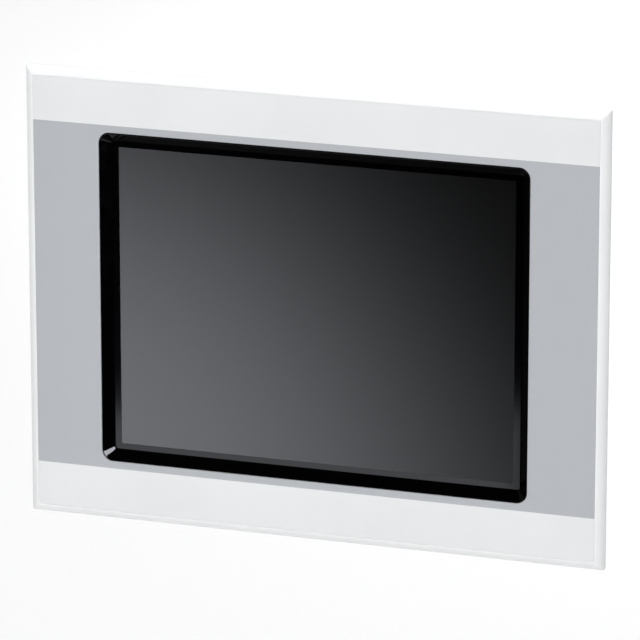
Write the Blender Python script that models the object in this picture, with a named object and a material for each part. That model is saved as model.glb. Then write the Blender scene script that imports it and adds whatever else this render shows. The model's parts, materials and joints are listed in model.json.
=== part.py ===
"""Flush-mounted operator panel with a 12.1-inch touch display, as an assembly of separate pieces.

Frame: X to the right as the operator sees it, Y into the cabinet, Z up. The origin is the middle of the
door cut-out, on the door's front face (y = 0), where the panel gasket seals. The front faces -Y.
All sizes below are in millimetres; new_part() turns them into Blender's metres.
"""
import math

import bmesh
import bpy
from mathutils import Matrix, Vector

MM = 0.001
GAP = 0.3                # clearance kept between pieces that touch
CORNER_STEPS = 5         # segments in each rounded corner of an outline
SMOOTH_ANGLE = math.radians(35.0)

# ---- driving dimensions -------------------------------------------------------------------------
FRONT_HALF = (180.5, 139.5)      # front frame, half width and half height
FRONT_Y = -8.0                   # operator's side of the frame
FRAME_BACK_Y = -1.0              # side of the frame that faces the door
EDGE_WIDTH = 4.9                 # sloping border round the frame, seen from the front
EDGE_DEPTH = 3.6                 # and how far it falls back
FILM_RECESS = 0.6                # depth of the shallow seat for the printed film
FILM_THICK = 0.3

SCREEN_HALF = (127.5, 96.3)      # clear opening over the glass
SCREEN_RADIUS = 2.0
SLOPE_OUT = 5.9                  # how far the black slope spreads beyond the clear opening
BEZEL_RADIUS = 6.7
FLANGE_OUT = 11.7
GLASS_OUT = 8.0
GLASS_Y = (-1.5, 1.5)

HOUSING_HALF = (164.5, 123.5)
HOUSING_WALL = 2.0
HOUSING_Y = (-0.7, 42.0)
HOUSING_RADIUS = 3.0
GASKET_IN = (168.0, 127.0)
GASKET_OUT = (177.0, 136.0)

BOARD_X = (-150.0, 156.0)
BOARD_Z = (-112.0, 78.0)
BOARD_Y = (22.0, 23.6)
SEAT_Y = BOARD_Y[1] + GAP        # where parts stand on the main board
PORT_Z = -HOUSING_HALF[1] - GAP  # outer faces of the connectors in the bottom wall
TRAY_Y = (2.0, 14.0)

PORT_X = {
    "can_port": -66.0,
    "serial_port": -32.0,
    "usb_device_port": -4.0,
    "usb_host_port": 15.0,
    "ethernet_port": 36.0,
    "power_header": 62.0,
    "ctrl_button": 112.0,
    "earth_stud": 130.0,
}
PORT_SIZE = {                    # width along X, height along Y, depth along Z
    "can_port": (31.0, 12.5, 12.6),
    "serial_port": (31.0, 12.5, 12.6),
    "usb_device_port": (12.0, 11.0, 16.3),
    "usb_host_port": (13.2, 7.2, 14.0),
    "ethernet_port": (16.0, 13.4, 21.0),
    "power_header": (18.0, 9.5, 12.6),
}
PORT_CLEAR = 0.4                 # play between a connector and its window in the wall
BUTTON_Y = 28.0
EARTH_Y = 28.0

CARD_Z = -62.0                   # middle of the memory card
CARD_SIZE = (32.0, 2.1, 24.0)
CARD_OUT_X = 165.5               # outer end of the card, just proud of the wall

COVER_SCREW = (157.7, 116.7)
CLAMP_PIN_OUT = 4.5              # clamp pin axis, outward from the housing wall
CLAMP_PIN_R = 2.0
CLAMP_BORE_R = 2.4
CLAMP_FOOT_Y = (7.5, 10.5)

# ---- finishes: base colour, roughness, metallic ---------------------------------------------------
FINISHES = {
    "edge_white": ((0.80, 0.81, 0.82), 0.30, 0.0),
    "film_silver": ((0.46, 0.48, 0.51), 0.40, 0.0),
    "gloss_black": ((0.006, 0.006, 0.007), 0.10, 0.0),
    "screen_glass": ((0.012, 0.012, 0.014), 0.16, 0.0),
    "circuit_green": ((0.02, 0.15, 0.07), 0.55, 0.0),
    "black_rubber": ((0.02, 0.02, 0.02), 0.80, 0.0),
    "panel_cell": ((0.03, 0.03, 0.035), 0.25, 0.0),
    "sheet_steel": ((0.55, 0.56, 0.57), 0.42, 1.0),
    "zinc_steel": ((0.62, 0.62, 0.60), 0.35, 1.0),
    "brass": ((0.70, 0.52, 0.24), 0.35, 1.0),
    "aluminium": ((0.70, 0.71, 0.72), 0.38, 1.0),
    "black_plastic": ((0.025, 0.025, 0.027), 0.50, 0.0),
    "green_plastic": ((0.03, 0.22, 0.10), 0.50, 0.0),
    "grey_plastic": ((0.30, 0.31, 0.32), 0.50, 0.0),
    "label_film": ((0.72, 0.73, 0.74), 0.45, 0.0),
}


# ---- shapes: every one of these gives a closed bmesh in millimetres -------------------------------
def rounded_outline(half, radius, y):
    """Points of a rounded rectangle lying at depth y."""
    half_w, half_h = half
    points = []
    for corner in range(4):
        sign_x = (1, -1, -1, 1)[corner]
        sign_z = (1, 1, -1, -1)[corner]
        for step in range(CORNER_STEPS + 1):
            angle = math.radians(90.0) * (corner + step / CORNER_STEPS)
            x = sign_x * (half_w - radius) + radius * math.cos(angle)
            z = sign_z * (half_h - radius) + radius * math.sin(angle)
            points.append(Vector((x, y, z)))
    return points


def loft(outlines, ring=False):
    """Join outlines one after another: a ring closes on itself, anything else gets two end caps."""
    shape = bmesh.new()
    rows = [[shape.verts.new(point) for point in outline] for outline in outlines]
    count = len(rows[0])
    pairs = list(zip(rows, rows[1:]))
    if ring:
        pairs.append((rows[-1], rows[0]))
    for first, second in pairs:
        for i in range(count):
            j = (i + 1) % count
            shape.faces.new((first[i], first[j], second[j], second[i]))
    if not ring:
        shape.faces.new(rows[0])
        shape.faces.new(rows[-1])
    bmesh.ops.recalc_face_normals(shape, faces=shape.faces)
    return shape


def grown(half, by):
    return (half[0] + by, half[1] + by)


def rounded_slab(half, radius, y0, y1):
    return loft([rounded_outline(half, radius, y0), rounded_outline(half, radius, y1)])


def rounded_ring(inner, inner_radius, outer, outer_radius, y0, y1):
    return loft(
        [
            rounded_outline(inner, inner_radius, y0),
            rounded_outline(outer, outer_radius, y0),
            rounded_outline(outer, outer_radius, y1),
            rounded_outline(inner, inner_radius, y1),
        ],
        ring=True,
    )


def boxes(*corner_pairs):
    """One shape holding a box for each (low corner, high corner) pair."""
    shape = bmesh.new()
    for low, high in corner_pairs:
        low, high = Vector(low), Vector(high)
        size = high - low
        place = Matrix.Translation((low + high) / 2) @ Matrix.Diagonal((*size, 1.0))
        bmesh.ops.create_cube(shape, size=1.0, matrix=place)
    return shape


def rods(radius, sides, *ends):
    """One shape holding a round bar for each (start, end) pair of points."""
    shape = bmesh.new()
    for start, end in ends:
        start, end = Vector(start), Vector(end)
        along = end - start
        turn = along.to_track_quat("Z", "Y").to_matrix().to_4x4()
        bmesh.ops.create_cone(
            shape,
            cap_ends=True,
            segments=sides,
            radius1=radius,
            radius2=radius,
            depth=along.length,
            matrix=Matrix.Translation((start + end) / 2) @ turn,
        )
    return shape


def upright_rods(radius, sides, places, z0, z1):
    """One shape holding a bar parallel to Z at each (x, y) place."""
    return rods(radius, sides, *(((x, y, z0), (x, y, z1)) for x, y in places))


def prism(outline, z0, z1):
    """An (x, y) outline drawn out along Z."""
    return loft([[Vector((x, y, z)) for x, y in outline] for z in (z0, z1)])


def turned(profile, sides, centre):
    """Spin (radius, y) points round an axis parallel to Y through centre; both ends lie on the axis."""
    rows = []
    for radius, y in profile:
        row = []
        for i in range(sides):
            angle = 2 * math.pi * i / sides
            x = centre[0] + radius * math.cos(angle)
            z = centre[1] + radius * math.sin(angle)
            row.append(Vector((x, y, z)))
        rows.append(row)
    return loft(rows)


# ---- objects --------------------------------------------------------------------------------------
def finish_material(finish):
    material = bpy.data.materials.get(finish)
    if material is None:
        colour, roughness, metallic = FINISHES[finish]
        material = bpy.data.materials.new(finish)
        material.use_nodes = True
        shader = material.node_tree.nodes["Principled BSDF"]
        shader.inputs["Base Color"].default_value = (*colour, 1.0)
        shader.inputs["Roughness"].default_value = roughness
        shader.inputs["Metallic"].default_value = metallic
        material.diffuse_color = (*colour, 1.0)
    return material


def mesh_object(name, shape):
    bmesh.ops.scale(shape, vec=(MM, MM, MM), verts=shape.verts)
    mesh = bpy.data.meshes.new(name)
    shape.to_mesh(mesh)
    shape.free()
    thing = bpy.data.objects.new(name, mesh)
    bpy.context.scene.collection.objects.link(thing)
    return thing


def worked_mesh(thing, steps):
    """Add and cut shapes in turn, and give the object the resulting plain mesh."""
    tools = []
    for kind, shape in steps:
        tool = mesh_object(f"{thing.name}_tool", shape)
        tool.hide_render = True
        tool.display_type = "WIRE"
        boolean = thing.modifiers.new(kind.lower(), "BOOLEAN")
        boolean.operation = kind
        boolean.solver = "EXACT"
        boolean.object = tool
        tools.append(tool)
    bpy.context.view_layer.update()
    evaluated = thing.evaluated_get(bpy.context.evaluated_depsgraph_get())
    mesh = bpy.data.meshes.new_from_object(evaluated)
    mesh.name = thing.name
    thing.modifiers.clear()
    thing.data = mesh
    for tool in tools:
        bpy.data.objects.remove(tool)


def new_part(name, finish, shape, steps=()):
    """A named piece from a shape, then ("UNION" or "DIFFERENCE", shape) steps worked in order."""
    thing = mesh_object(name, shape)
    if steps:
        worked_mesh(thing, steps)
    thing.data.materials.clear()
    thing.data.materials.append(finish_material(finish))
    thing.data.shade_smooth()
    thing.data.set_sharp_from_angle(angle=SMOOTH_ANGLE)
    return thing


def copy_part(source, name):
    """Another piece of the same shape; it shares the mesh."""
    thing = bpy.data.objects.new(name, source.data)
    bpy.context.scene.collection.objects.link(thing)
    return thing


# ---- front: frame, film, touch bezel, glass --------------------------------------------------------
def build_front_frame():
    outer = FRONT_HALF
    window = grown(SCREEN_HALF, SLOPE_OUT + GAP)
    pocket = grown(SCREEN_HALF, FLANGE_OUT + 0.6)
    land = grown(outer, -EDGE_WIDTH)
    seat = grown(land, -0.5)
    film_y = FRONT_Y + FILM_RECESS
    groove_in, groove_out = grown(GASKET_IN, -0.4), grown(GASKET_OUT, 0.4)
    groove_y = FRAME_BACK_Y - 1.2
    lip_y = -6.0
    outlines = [
        rounded_outline(window, BEZEL_RADIUS + GAP, film_y),
        rounded_outline(seat, 1.0, film_y),
        rounded_outline(seat, 1.0, FRONT_Y),
        rounded_outline(land, 0.9, FRONT_Y),
    ]
    # the border falls away in a slope with both edges eased
    for share_out, share_back in ((0.12, 0.04), (0.30, 0.17), (0.78, 0.70), (0.93, 0.86)):
        outlines.append(
            rounded_outline(grown(land, share_out * EDGE_WIDTH), 0.8, FRONT_Y + share_back * EDGE_DEPTH)
        )
    outlines += [
        rounded_outline(outer, 0.7, FRONT_Y + EDGE_DEPTH),
        rounded_outline(outer, 0.7, FRAME_BACK_Y),
        rounded_outline(groove_out, 4.0, FRAME_BACK_Y),
        rounded_outline(groove_out, 4.0, groove_y),
        rounded_outline(groove_in, 3.0, groove_y),
        rounded_outline(groove_in, 3.0, FRAME_BACK_Y),
        rounded_outline(pocket, 5.0, FRAME_BACK_Y),
        rounded_outline(pocket, 5.0, lip_y),
        rounded_outline(window, BEZEL_RADIUS + GAP, lip_y),
    ]
    new_part("front_frame", "edge_white", loft(outlines, ring=True))

    film = rounded_ring(window, BEZEL_RADIUS + GAP, grown(seat, -GAP), 0.8, FRONT_Y, FRONT_Y + FILM_THICK)
    new_part("front_film", "film_silver", film)


def build_touch_bezel():
    """Black ring whose slope leads down to the glass; its flange is held behind the frame's lip."""
    section = (
        (0.0, SCREEN_RADIUS, -1.8),
        (0.0, SCREEN_RADIUS, -2.4),
        (4.9, BEZEL_RADIUS - 0.9, -7.3),
        (5.35, BEZEL_RADIUS - 0.5, -7.8),
        (SLOPE_OUT - 0.2, BEZEL_RADIUS - 0.2, FRONT_Y),
        (SLOPE_OUT, BEZEL_RADIUS, FRONT_Y + 0.3),
        (SLOPE_OUT, BEZEL_RADIUS, -5.7),
        (FLANGE_OUT, 5.0, -5.7),
        (FLANGE_OUT, 5.0, -4.4),
        (4.4, 4.5, -4.4),
        (1.6, 3.0, -1.8),
    )
    outlines = [rounded_outline(grown(SCREEN_HALF, out), radius, y) for out, radius, y in section]
    new_part("touch_bezel", "gloss_black", loft(outlines, ring=True))


def build_light_boards():
    """Four strips behind the slope: two send invisible light across the glass, two receive it."""
    y0, y1 = -4.1, -3.1
    near_x, far_x = SCREEN_HALF[0] + 6.5, SCREEN_HALF[0] + 11.5
    near_z, far_z = SCREEN_HALF[1] + 6.5, SCREEN_HALF[1] + 11.5
    end_x, end_z = near_x + 2.0, near_z - 0.6
    strips = {
        "ir_emitter_board_top": ((-end_x, y0, near_z), (end_x, y1, far_z)),
        "ir_detector_board_bottom": ((-end_x, y0, -far_z), (end_x, y1, -near_z)),
        "ir_emitter_board_side": ((-far_x, y0, -end_z), (-near_x, y1, end_z)),
        "ir_detector_board_side": ((near_x, y0, -end_z), (far_x, y1, end_z)),
    }
    for name, corners in strips.items():
        new_part(name, "circuit_green", boxes(corners))


def build_display():
    glass = grown(SCREEN_HALF, GLASS_OUT)
    new_part("display_glass", "screen_glass", rounded_slab(glass, 3.0, *GLASS_Y))
    seal = rounded_ring(grown(glass, GAP), 3.3, grown(glass, GAP + 1.5), 4.5, *GLASS_Y)
    new_part("glass_seal", "black_rubber", seal)
    new_part("lcd_panel", "panel_cell", rounded_slab((129.0, 98.0), 1.0, 1.8, 4.0))
    new_part("lcd_chassis", "sheet_steel", rounded_slab((139.5, 104.5), 2.0, 4.3, 12.0))


def build_display_carrier():
    """Sheet tray that holds the display module against the glass; open to the front."""
    outer, wall = (158.0, 118.0), 1.5
    inner = grown(outer, -wall)
    outlines = [
        rounded_outline(inner, 1.5, TRAY_Y[1] - wall),
        rounded_outline(inner, 1.5, TRAY_Y[0]),
        rounded_outline(outer, 3.0, TRAY_Y[0]),
        rounded_outline(outer, 3.0, TRAY_Y[1]),
    ]
    new_part("display_carrier", "sheet_steel", loft(outlines))


def build_panel_gasket():
    gasket = rounded_ring(GASKET_IN, 3.4, GASKET_OUT, 4.0, FRAME_BACK_Y - 0.9, 0.0)
    new_part("panel_gasket", "black_rubber", gasket)


# ---- rear: housing, cover, their openings ----------------------------------------------------------
def port_window(name):
    """Opening in the bottom wall for one connector."""
    width, height, _ = PORT_SIZE[name]
    x = PORT_X[name]
    low = (x - width / 2 - PORT_CLEAR, SEAT_Y - PORT_CLEAR, -HOUSING_HALF[1] - 1)
    high = (x + width / 2 + PORT_CLEAR, SEAT_Y + height + PORT_CLEAR, -HOUSING_HALF[1] + HOUSING_WALL + 1)
    return low, high


def vent_slots(z_low, z_high, y0, y1):
    """A row of narrow slots across the housing's width."""
    slots = []
    for i in range(19):
        x = (i - 9) * 7.6
        slots.append(((x - 1.5, y0, z_low), (x + 1.5, y1, z_high)))
    return slots


def clamp_slots():
    """Openings in the walls for the hooks of the six clamps."""
    half_w, half_h = HOUSING_HALF
    y0, y1, across = 30.6, 38.2, 4.4
    slots = []
    for x in (-90.0, 90.0):
        for z_low in (half_h - HOUSING_WALL - 1, -half_h - 1):
            slots.append(((x - across, y0, z_low), (x + across, y1, z_low + HOUSING_WALL + 2)))
    for x_low in (half_w - HOUSING_WALL - 1, -half_w - 1):
        slots.append(((x_low, y0, -across), (x_low + HOUSING_WALL + 2, y1, across)))
    return slots


def build_rear_housing():
    outer = HOUSING_HALF
    inner = grown(outer, -HOUSING_WALL)
    front_lip = (141.2, 110.0)
    rear_lip = grown(outer, -10.5)
    y0, y1 = HOUSING_Y
    shell = loft(
        [
            rounded_outline(outer, HOUSING_RADIUS, y0),
            rounded_outline(outer, HOUSING_RADIUS, y1),
            rounded_outline(rear_lip, 2.0, y1),
            rounded_outline(rear_lip, 2.0, y1 - HOUSING_WALL),
            rounded_outline(inner, 1.5, y1 - HOUSING_WALL),
            rounded_outline(inner, 1.5, y0 + 1.5),
            rounded_outline(front_lip, 4.0, y0 + 1.5),
            rounded_outline(front_lip, 4.0, y0),
        ],
        ring=True,
    )
    top, bottom = outer[1], -outer[1]
    openings = [port_window(name) for name in PORT_SIZE]
    openings += vent_slots(top - HOUSING_WALL - 1, top + 1, 8.0, 20.0)
    openings += vent_slots(top - HOUSING_WALL - 1, top + 1, 24.0, 36.0)
    openings += vent_slots(bottom - 1, bottom + HOUSING_WALL + 1, 7.0, 18.0)
    openings += clamp_slots()
    card_half = CARD_SIZE[2] / 2 + 1.4
    card_slot = (
        (outer[0] - HOUSING_WALL - 1, SEAT_Y + 0.3, CARD_Z - card_half),
        (outer[0] + 1, SEAT_Y + 4.5, CARD_Z + card_half),
    )
    openings.append(card_slot)
    wall_low, wall_high = bottom - 1, bottom + HOUSING_WALL + 1
    small_holes = rods(
        2.8,
        16,
        ((PORT_X["ctrl_button"], BUTTON_Y, wall_low), (PORT_X["ctrl_button"], BUTTON_Y, wall_high)),
        ((PORT_X["earth_stud"], EARTH_Y, wall_low), (PORT_X["earth_stud"], EARTH_Y, wall_high)),
    )
    steps = [
        ("DIFFERENCE", boxes(*openings)),
        ("DIFFERENCE", small_holes),
        ("DIFFERENCE", cover_screw_holes(y1 - HOUSING_WALL - 1, y1 + 1)),
    ]
    new_part("rear_housing", "sheet_steel", shell, steps)


def cover_screw_places():
    x, z = COVER_SCREW
    return {
        "cover_screw_top_left": (-x, z),
        "cover_screw_top_right": (x, z),
        "cover_screw_bottom_left": (-x, -z),
        "cover_screw_bottom_right": (x, -z),
    }


def cover_screw_holes(y0, y1):
    return rods(1.8, 12, *(((x, y0, z), (x, y1, z)) for x, z in cover_screw_places().values()))


def build_rear_cover():
    """Pressed plate with a raised middle, so that it stands clear of the boards behind it."""
    plate, plate_y, sheet = (163.3, 122.3), HOUSING_Y[1] + GAP, 1.5
    foot, pan, pan_y = (152.0, 111.0), (149.0, 108.0), 50.0
    cover = loft(
        [
            rounded_outline(grown(pan, -1.6), 4.0, pan_y - sheet),
            rounded_outline(grown(foot, -1.6), 4.6, plate_y),
            rounded_outline(plate, 3.0, plate_y),
            rounded_outline(plate, 3.0, plate_y + sheet),
            rounded_outline(foot, 5.0, plate_y + sheet),
            rounded_outline(pan, 4.4, pan_y),
        ]
    )
    slots = []
    for row_z in (-84.0, 52.0):
        for i in range(15):
            x = (i - 7) * 12.0
            slots.append(((x - 1.7, pan_y - sheet - 1, row_z), (x + 1.7, pan_y + 1, row_z + 32.0)))
    steps = [
        ("DIFFERENCE", boxes(*slots)),
        ("DIFFERENCE", cover_screw_holes(plate_y - 1, plate_y + sheet + 1)),
    ]
    new_part("rear_cover", "sheet_steel", cover, steps)
    plate_low, plate_high = (-35.0, pan_y + GAP, -18.0), (35.0, pan_y + GAP + 0.5, 22.0)
    new_part("rating_plate", "label_film", boxes((plate_low, plate_high)))

    head_y = plate_y + sheet + GAP
    first = None
    for name, (x, z) in cover_screw_places().items():
        if first is None:
            profile = ((1.5, -6.5), (1.5, 0.0), (2.9, 0.0), (2.9, 1.2), (2.1, 1.9))
            cross = [
                ("DIFFERENCE", boxes(((-1.8, 1.1, -0.35), (1.8, 2.4, 0.35)))),
                ("DIFFERENCE", boxes(((-0.35, 1.1, -1.8), (0.35, 2.4, 1.8)))),
            ]
            first = new_part(name, "zinc_steel", turned(profile, 14, (0.0, 0.0)), cross)
            screw = first
        else:
            screw = copy_part(first, name)
        screw.location = Vector((x, head_y, z)) * MM


# ---- electronics ----------------------------------------------------------------------------------
def build_boards():
    low = (BOARD_X[0], BOARD_Y[0], BOARD_Z[0])
    high = (BOARD_X[1], BOARD_Y[1], BOARD_Z[1])
    new_part("mainboard", "circuit_green", boxes((low, high)))

    first = None
    y0, y1 = TRAY_Y[1] + GAP, BOARD_Y[0] - GAP
    for side_x, x in (("left", -135.0), ("right", 135.0)):
        for side_z, z in (("bottom", -102.0), ("top", 68.0)):
            name = f"standoff_{side_z}_{side_x}"
            if first is None:
                first = new_part(name, "brass", rods(3.2, 6, ((0, y0, 0), (0, y1, 0))))
                post = first
            else:
                post = copy_part(first, name)
            post.location = (x * MM, 0.0, z * MM)

    inverter = boxes(((-110.0, TRAY_Y[1] + GAP, 86.0), (20.0, TRAY_Y[1] + GAP + 1.6, 110.0)))
    wound_parts = boxes(
        ((-98.0, 15.0, 90.0), (-78.0, 20.4, 106.0)),
        ((-62.0, 15.0, 90.0), (-42.0, 20.4, 106.0)),
        ((-20.0, 15.0, 93.0), (8.0, 19.0, 104.0)),
    )
    new_part("backlight_inverter", "circuit_green", inverter, [("UNION", wound_parts)])


def build_heat_sink():
    """Comb of upright fins over the processor."""
    base, top, fins, pitch, fin = 3.0, 14.0, 10, 7.5, 1.8
    left = -(fins - 1) * pitch / 2 - fin / 2
    outline = [(left, 0.0), (-left, 0.0)]
    for i in reversed(range(fins)):
        x = left + i * pitch
        outline += [(x + fin, top), (x, top)]
        if i:
            outline += [(x, base), (x - pitch + fin, base)]
    sink = prism([(x, SEAT_Y + y) for x, y in outline], -20.0, 50.0)
    new_part("heat_sink", "aluminium", sink)


def build_battery():
    x, z, rim_y = -100.0, 30.0, SEAT_Y + 5.0
    dish = ((11.9, SEAT_Y), (11.9, rim_y), (10.4, rim_y), (10.4, SEAT_Y + 1.2))
    new_part("battery_holder", "black_plastic", turned(dish, 24, (x, z)))
    cell = ((9.2, SEAT_Y + 1.5), (10.0, SEAT_Y + 1.9), (10.0, SEAT_Y + 4.7))
    new_part("coin_cell", "zinc_steel", turned(cell, 24, (x, z)))


def build_card():
    length, thick, width = CARD_SIZE
    card_y = SEAT_Y + 1.3
    inner_x = CARD_OUT_X - length
    mouth_x = HOUSING_HALF[0] - HOUSING_WALL - 1.9
    half = width / 2
    low_z, high_z = CARD_Z - half, CARD_Z + half
    body_low = (inner_x - 5.0, SEAT_Y, low_z - 2.0)
    body_high = (mouth_x, SEAT_Y + 4.4, high_z + 2.0)
    space_low = (inner_x - GAP, card_y - GAP, low_z - GAP)
    space_high = (mouth_x + 1, card_y + thick + GAP, high_z + GAP)
    space = boxes((space_low, space_high))
    new_part("card_socket", "zinc_steel", boxes((body_low, body_high)), [("DIFFERENCE", space)])

    # the card's leading corner is cut off, so that it goes in only one way round
    cut = 4.0
    outline = [
        (inner_x, card_y),
        (inner_x, card_y + thick),
        (CARD_OUT_X, card_y + thick),
        (CARD_OUT_X, card_y),
    ]
    card = prism(outline, low_z, high_z)
    rows = []
    for y in (card_y - 1, card_y + thick + 1):
        rows.append(
            [
                Vector((inner_x - 1, y, high_z + 1)),
                Vector((inner_x - 1, y, high_z - cut - 1)),
                Vector((inner_x + cut + 1, y, high_z + 1)),
            ]
        )
    new_part("memory_card", "black_plastic", card, [("DIFFERENCE", loft(rows))])


# ---- connectors in the bottom wall -------------------------------------------------------------------
def port_body(name):
    width, height, depth = PORT_SIZE[name]
    x = PORT_X[name]
    return boxes(((x - width / 2, SEAT_Y, PORT_Z), (x + width / 2, SEAT_Y + height, PORT_Z + depth)))


def port_box(name, x0, x1, y0, y1, z0, z1):
    """A box given from the middle of a connector, up from the board and in from its face."""
    x = PORT_X[name]
    return ((x + x0, SEAT_Y + y0, PORT_Z + z0), (x + x1, SEAT_Y + y1, PORT_Z + z1))


def build_data_ports():
    name = "ethernet_port"
    cavity = boxes(port_box(name, -5.9, 5.9, 3.6, 11.6, -1.0, 13.0))
    latch_way = boxes(port_box(name, -3.0, 3.0, 1.4, 5.0, -1.0, 10.0))
    steps = [("DIFFERENCE", cavity), ("DIFFERENCE", latch_way)]
    new_part(name, "zinc_steel", port_body(name), steps)

    name = "usb_host_port"
    cavity = boxes(port_box(name, -6.1, 6.1, 0.6, 6.6, -1.0, 11.5))
    tongue = boxes(port_box(name, -5.6, 5.6, 3.7, 5.5, 0.8, 12.0))
    new_part(name, "zinc_steel", port_body(name), [("DIFFERENCE", cavity), ("UNION", tongue)])

    name = "usb_device_port"
    cavity = boxes(port_box(name, -4.3, 4.3, 1.5, 9.5, -1.0, 11.5))
    tongue = boxes(port_box(name, -2.8, 2.8, 3.9, 7.1, 0.8, 12.0))
    new_part(name, "zinc_steel", port_body(name), [("DIFFERENCE", cavity), ("UNION", tongue)])


def d_outline(name, half_wide, half_narrow, half_high, corner):
    """The D shape of a nine-way connector, wide side away from the board."""
    x, y = PORT_X[name], SEAT_Y + PORT_SIZE[name][1] / 2
    right = [
        (half_narrow - corner, -half_high),
        (half_narrow, -half_high + corner),
        (half_wide, half_high - corner),
        (half_wide - corner, half_high),
    ]
    left = [(-px, py) for px, py in reversed(right)]
    return [(x + px, y + py) for px, py in right + left]


def nine_places(name):
    """Middles of the five and four contacts, in two rows."""
    x, y = PORT_X[name], SEAT_Y + PORT_SIZE[name][1] / 2
    pitch = 2.77
    upper = [(x + (i - 2) * pitch, y + 1.42) for i in range(5)]
    lower = [(x + (i - 1.5) * pitch, y - 1.42) for i in range(4)]
    return upper + lower


def build_nine_way_ports():
    shell_out = PORT_Z - 5.8
    for name, pins in (("serial_port", True), ("can_port", False)):
        outer = prism(d_outline(name, 8.5, 7.6, 4.2, 1.2), shell_out, PORT_Z + 1.0)
        x, y = PORT_X[name], SEAT_Y + PORT_SIZE[name][1] / 2
        post_places = [(x - 12.5, y), (x + 12.5, y)]
        posts = upright_rods(2.7, 6, post_places, PORT_Z - 4.8, PORT_Z + 1.0)
        threads = upright_rods(1.3, 8, post_places, PORT_Z - 5.8, PORT_Z - 1.0)
        steps = [("UNION", outer), ("UNION", posts), ("DIFFERENCE", threads)]
        if pins:
            hollow = prism(d_outline(name, 7.9, 7.0, 3.6, 1.0), shell_out - 1.0, PORT_Z + 0.6)
            contacts = upright_rods(0.5, 6, nine_places(name), PORT_Z - 5.0, PORT_Z + 1.6)
            steps += [("DIFFERENCE", hollow), ("UNION", contacts)]
        else:
            holes = upright_rods(0.6, 6, nine_places(name), shell_out - 1.0, PORT_Z - 1.0)
            steps.append(("DIFFERENCE", holes))
        new_part(name, "zinc_steel", port_body(name), steps)


def build_power_connector():
    name = "power_header"
    x = PORT_X[name]
    middle_y = SEAT_Y + PORT_SIZE[name][1] / 2
    ways = [x + i * 5.08 for i in (-1, 0, 1)]
    places = [(px, middle_y) for px in ways]
    cavity = boxes(port_box(name, -8.2, 8.2, 0.8, 8.7, -1.0, 9.0))
    pins = upright_rods(0.6, 8, places, PORT_Z + 1.8, PORT_Z + 10.0)
    new_part(name, "green_plastic", port_body(name), [("DIFFERENCE", cavity), ("UNION", pins)])

    nose = boxes(port_box(name, -7.8, 7.8, 1.2, 8.3, -1.0, 8.4))
    grip = boxes(port_box(name, -8.7, 8.7, -0.6, 11.0, -12.7, -GAP))
    sockets = upright_rods(1.0, 8, places, PORT_Z + 0.6, PORT_Z + 9.0)
    wire_ways = []
    wells = []
    for px in ways:
        wire_ways.append(((px - 1.9, middle_y - 2.4, PORT_Z - 13.0), (px + 1.9, middle_y + 1.4, PORT_Z - 6.0)))
        wells.append(((px, SEAT_Y + 8.5, PORT_Z - 6.5), (px, SEAT_Y + 12.0, PORT_Z - 6.5)))
    steps = [
        ("UNION", nose),
        ("DIFFERENCE", sockets),
        ("DIFFERENCE", boxes(*wire_ways)),
        ("DIFFERENCE", rods(1.8, 10, *wells)),
    ]
    new_part("power_plug", "green_plastic", grip, steps)


def build_button_and_earth():
    x = PORT_X["ctrl_button"]
    body = boxes(((x - 4.0, SEAT_Y, -119.0), (x + 4.0, SEAT_Y + 8.2, -110.0)))
    bore = rods(2.6, 16, ((x, BUTTON_Y, -120.0), (x, BUTTON_Y, -113.0)))
    new_part("button_switch", "black_plastic", body, [("DIFFERENCE", bore)])
    plunger = new_part("ctrl_button", "grey_plastic", rods(2.2, 16, ((0, 0, -125.0), (0, 0, -114.6))))
    plunger.location = (x * MM, BUTTON_Y * MM, 0.0)

    x = PORT_X["earth_stud"]
    shank = rods(2.5, 16, ((x, EARTH_Y, -134.0), (x, EARTH_Y, -120.5)))
    head = rods(5.0, 16, ((x, EARTH_Y, -121.2), (x, EARTH_Y, -119.7)))
    new_part("earth_stud", "brass", shank, [("UNION", head)])
    nut = rods(4.6, 6, ((x, EARTH_Y, -128.0), (x, EARTH_Y, -124.0)))
    nut_bore = rods(2.8, 16, ((x, EARTH_Y, -130.0), (x, EARTH_Y, -122.0)))
    new_part("earth_nut", "zinc_steel", nut, [("DIFFERENCE", nut_bore)])


# ---- clamps: bracket, threaded pin and swivelling foot ------------------------------------------------
def clamp_places():
    """Name, point on the housing wall, and turn about Y that brings local +Z to the wall's outside."""
    half_w, half_h = HOUSING_HALF
    return (
        ("top_left", (-90.0, half_h), 0.0),
        ("top_right", (90.0, half_h), 0.0),
        ("bottom_left", (-90.0, -half_h), 180.0),
        ("bottom_right", (90.0, -half_h), 180.0),
        ("left", (-half_w, 0.0), -90.0),
        ("right", (half_w, 0.0), 90.0),
    )


def clamp_bracket_shape():
    boss = boxes(((-7.0, 11.0, GAP), (7.0, 18.0, 8.3)))
    arm = boxes(((-5.0, 17.0, GAP), (5.0, 38.4, GAP + 2.0)))
    hook = boxes(((-4.0, 31.0, -4.4), (4.0, 35.0, GAP + 1.0)))
    lip = boxes(((-4.0, 34.0, -4.4), (4.0, 39.4, -HOUSING_WALL - GAP)))
    rib_side = ((17.0, 1.5), (17.0, 7.0), (27.5, 1.5))
    ribs = [
        loft([[Vector((x, y, z)) for y, z in rib_side] for x in (middle - 0.9, middle + 0.9)])
        for middle in (-5.5, 5.5)
    ]
    bore = rods(CLAMP_BORE_R, 20, ((0, 10.0, CLAMP_PIN_OUT), (0, 28.0, CLAMP_PIN_OUT)))
    return boss, [
        ("UNION", arm),
        ("UNION", hook),
        ("UNION", lip),
        ("UNION", ribs[0]),
        ("UNION", ribs[1]),
        ("DIFFERENCE", bore),
    ]


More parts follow.
